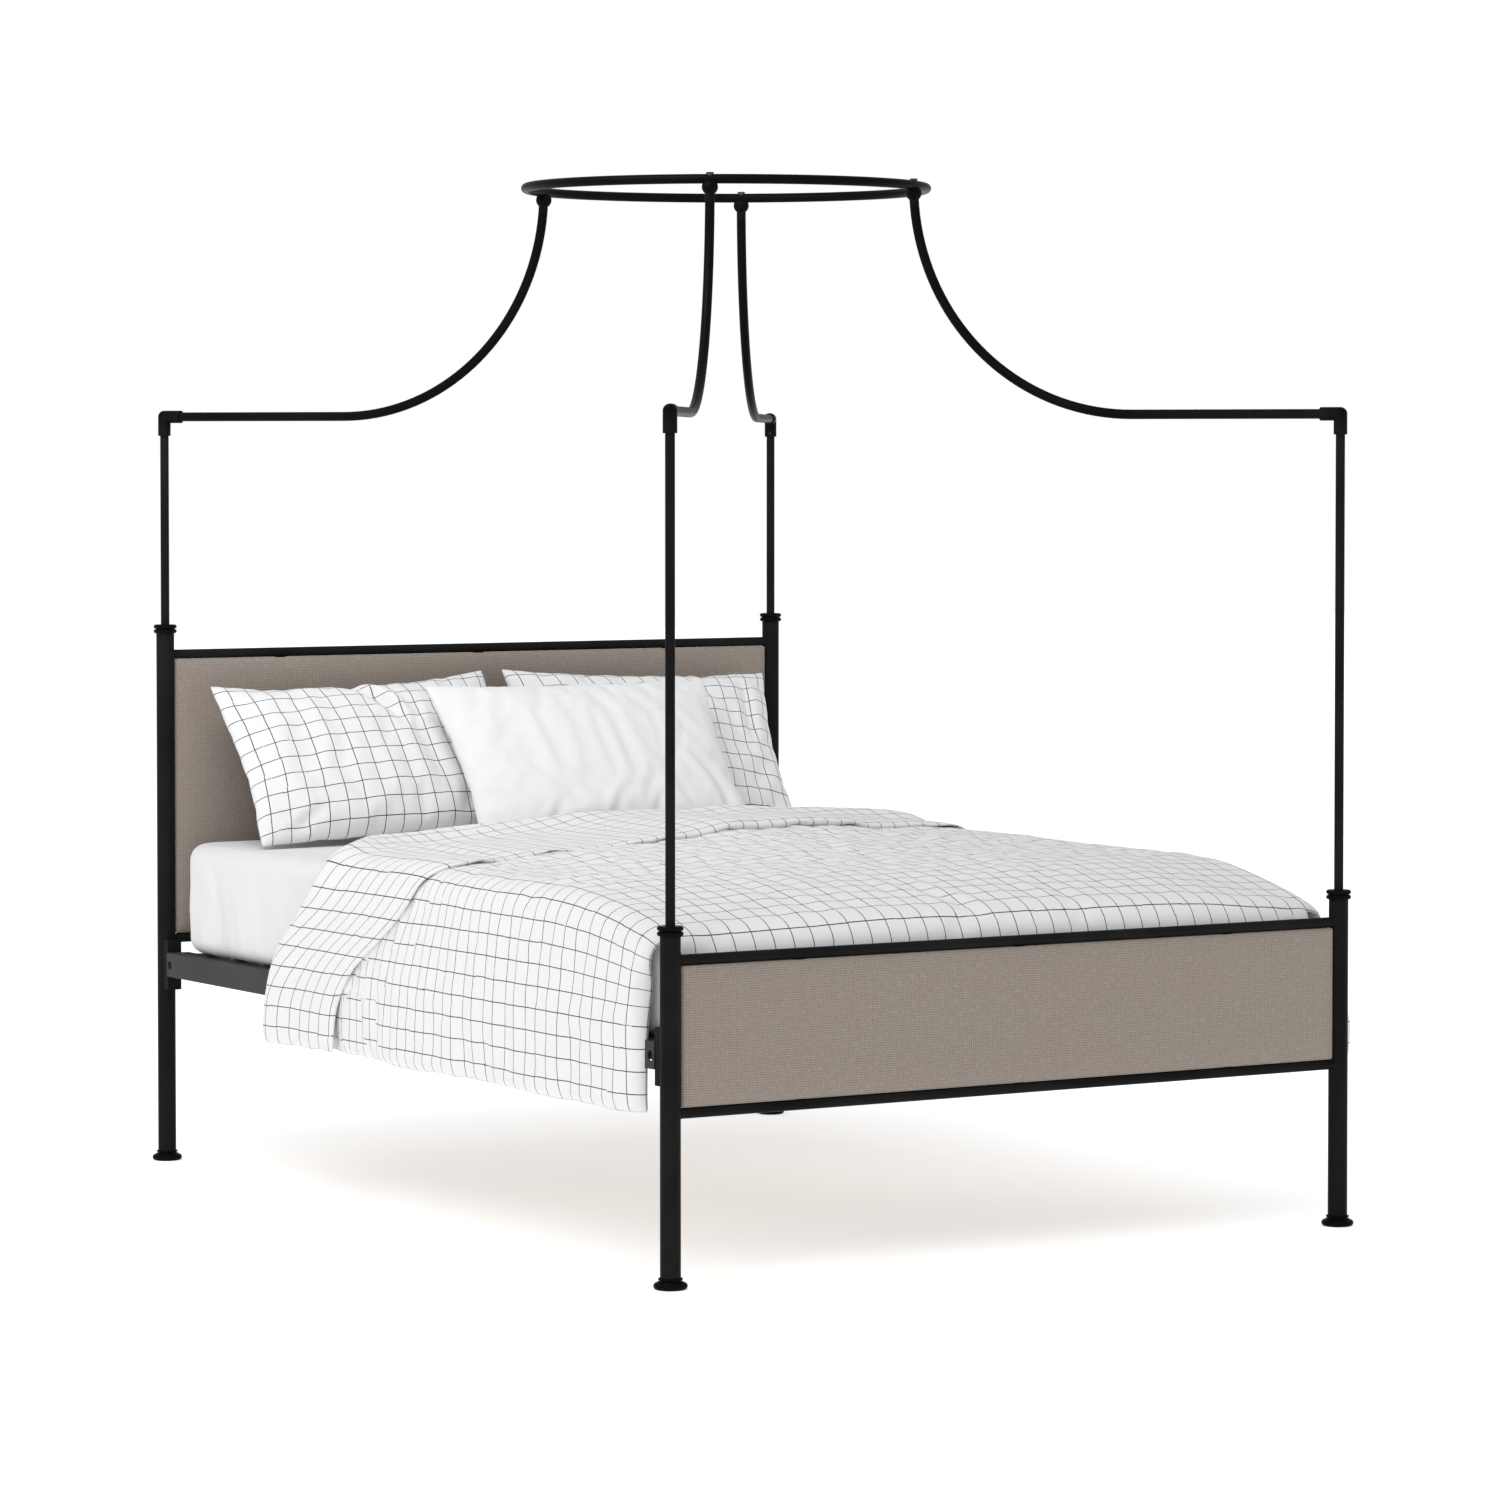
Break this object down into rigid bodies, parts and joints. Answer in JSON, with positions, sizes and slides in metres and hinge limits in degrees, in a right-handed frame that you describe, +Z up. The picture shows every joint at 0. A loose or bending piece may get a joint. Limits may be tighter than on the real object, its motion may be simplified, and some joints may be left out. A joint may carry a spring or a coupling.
{
  "type": "four poster canopy bed",
  "caption": "Black tubular steel four poster bed with a round canopy crown, padded end panels, slatted base, mattress, duvet and pillows.",
  "frame": {"origin": "on the floor at the middle of the bed's outline", "axes": "+Z up, +Y towards the head end, +X to the right seen from the foot end"},
  "size_m": [1.624, 2.1464, 2.049],
  "materials": {
    "frame_black": "satin black powder coat",
    "rail_grey": "matt dark grey powder coat",
    "dark_fixing": "blackened steel fixings",
    "panel_board": "raw board, hidden in the cover",
    "panel_fabric": "taupe linen weave, padded",
    "slat_wood": "pale sprung beech",
    "cap_plastic": "black moulded caps",
    "mattress_ticking": "white knitted ticking",
    "sheet_cotton": "plain white cotton sheet",
    "grid_cotton": "white cotton with a thin dark grid",
    "plain_cotton": "plain white cotton"
  },
  "bodies": {
    "frame": {"front_left_leg": "frame_black", "front_right_leg": "frame_black", "rear_left_leg": "frame_black", "rear_right_leg": "frame_black", "front_left_foot": "frame_black", "front_right_foot": "frame_black", "rear_left_foot": "frame_black", "rear_right_foot": "frame_black", "front_left_collar": "frame_black", "front_right_collar": "frame_black", "rear_left_collar": "frame_black", "rear_right_collar": "frame_black", "front_left_pole": "frame_black", "front_right_pole": "frame_black", "rear_left_pole": "frame_black", "rear_right_pole": "frame_black", "front_left_elbow": "frame_black", "front_right_elbow": "frame_black", "rear_left_elbow": "frame_black", "rear_right_elbow": "frame_black", "front_left_arm": "frame_black", "front_right_arm": "frame_black", "rear_left_arm": "frame_black", "rear_right_arm": "frame_black", "front_left_ball": "frame_black", "front_right_ball": "frame_black", "rear_left_ball": "frame_black", "rear_right_ball": "frame_black", "crown_ring": "frame_black", "ring_bolts": "dark_fixing", "elbow_screws": "dark_fixing", "headboard_top_rail": "frame_black", "headboard_bottom_rail": "frame_black", "headboard_board": "panel_board", "headboard_cover": "panel_fabric", "headboard_fixings": "frame_black", "footboard_top_rail": "frame_black", "footboard_bottom_rail": "frame_black", "footboard_board": "panel_board", "footboard_cover": "panel_fabric", "footboard_fixings": "frame_black", "left_side_rail": "rail_grey", "right_side_rail": "rail_grey", "rail_brackets": "frame_black", "rail_bolts": "dark_fixing", "rail_nuts": "dark_fixing", "head_cross_rail": "rail_grey", "foot_cross_rail": "rail_grey", "cross_rail_bolts": "dark_fixing", "centre_rail": "rail_grey", "centre_rail_hangers": "rail_grey", "slats": "slat_wood", "side_slat_caps": "cap_plastic", "centre_slat_caps": "cap_plastic"},
    "mattress": {"mattress": "mattress_ticking", "fitted_sheet": "sheet_cotton"},
    "duvet": {"duvet": "grid_cotton"},
    "left_pillow": {"left_pillow": "grid_cotton"},
    "right_pillow": {"right_pillow": "grid_cotton"},
    "front_pillow": {"front_pillow": "plain_cotton"}
  },
  "joints": [
    {"name": "mattress_lift", "type": "slide", "parent": "frame", "child": "mattress", "axis": [0, 0, 1], "range_m": [0, 0.3]},
    {"name": "duvet_lift", "type": "slide", "parent": "mattress", "child": "duvet", "axis": [0, 0, 1], "range_m": [0, 0.45]},
    {"name": "front_pillow_lift", "type": "slide", "parent": "mattress", "child": "front_pillow", "axis": [0, 0, 1], "range_m": [0, 0.35]},
    {"name": "left_pillow_pull", "type": "slide", "parent": "mattress", "child": "left_pillow", "axis": [-1, 0, 0], "range_m": [0, 0.7]},
    {"name": "right_pillow_pull", "type": "slide", "parent": "mattress", "child": "right_pillow", "axis": [1, 0, 0], "range_m": [0, 0.7]}
  ]
}
